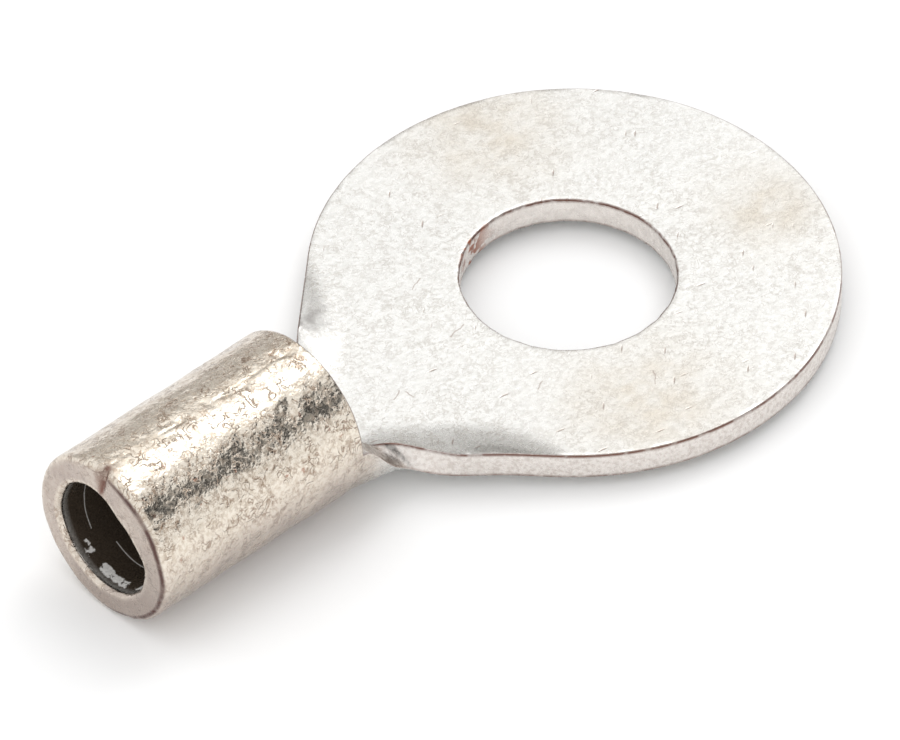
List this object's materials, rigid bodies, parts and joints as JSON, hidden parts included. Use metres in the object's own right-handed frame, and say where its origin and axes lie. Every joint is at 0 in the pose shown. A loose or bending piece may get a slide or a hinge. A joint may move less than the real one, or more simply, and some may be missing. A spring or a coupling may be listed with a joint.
{
  "type": "ring terminal",
  "caption": "Bare ring terminal: a flat ring with a stud hole, a scooped neck and a short rolled crimp barrel for a stripped wire.",
  "frame": {"origin": "centre of the stud hole on the ring's flat underside", "axes": "+X from the barrel towards the ring's tip, +Z out of the ring's upper face, on the side that the barrel's seam is on"},
  "size_m": [0.0271, 0.016, 0.0055],
  "materials": {
    "tinned_copper": "satin tin plate over copper, copper-red at the sheared edges"
  },
  "bodies": {
    "root": {"ring_terminal": "tinned_copper"}
  },
  "joints": []
}
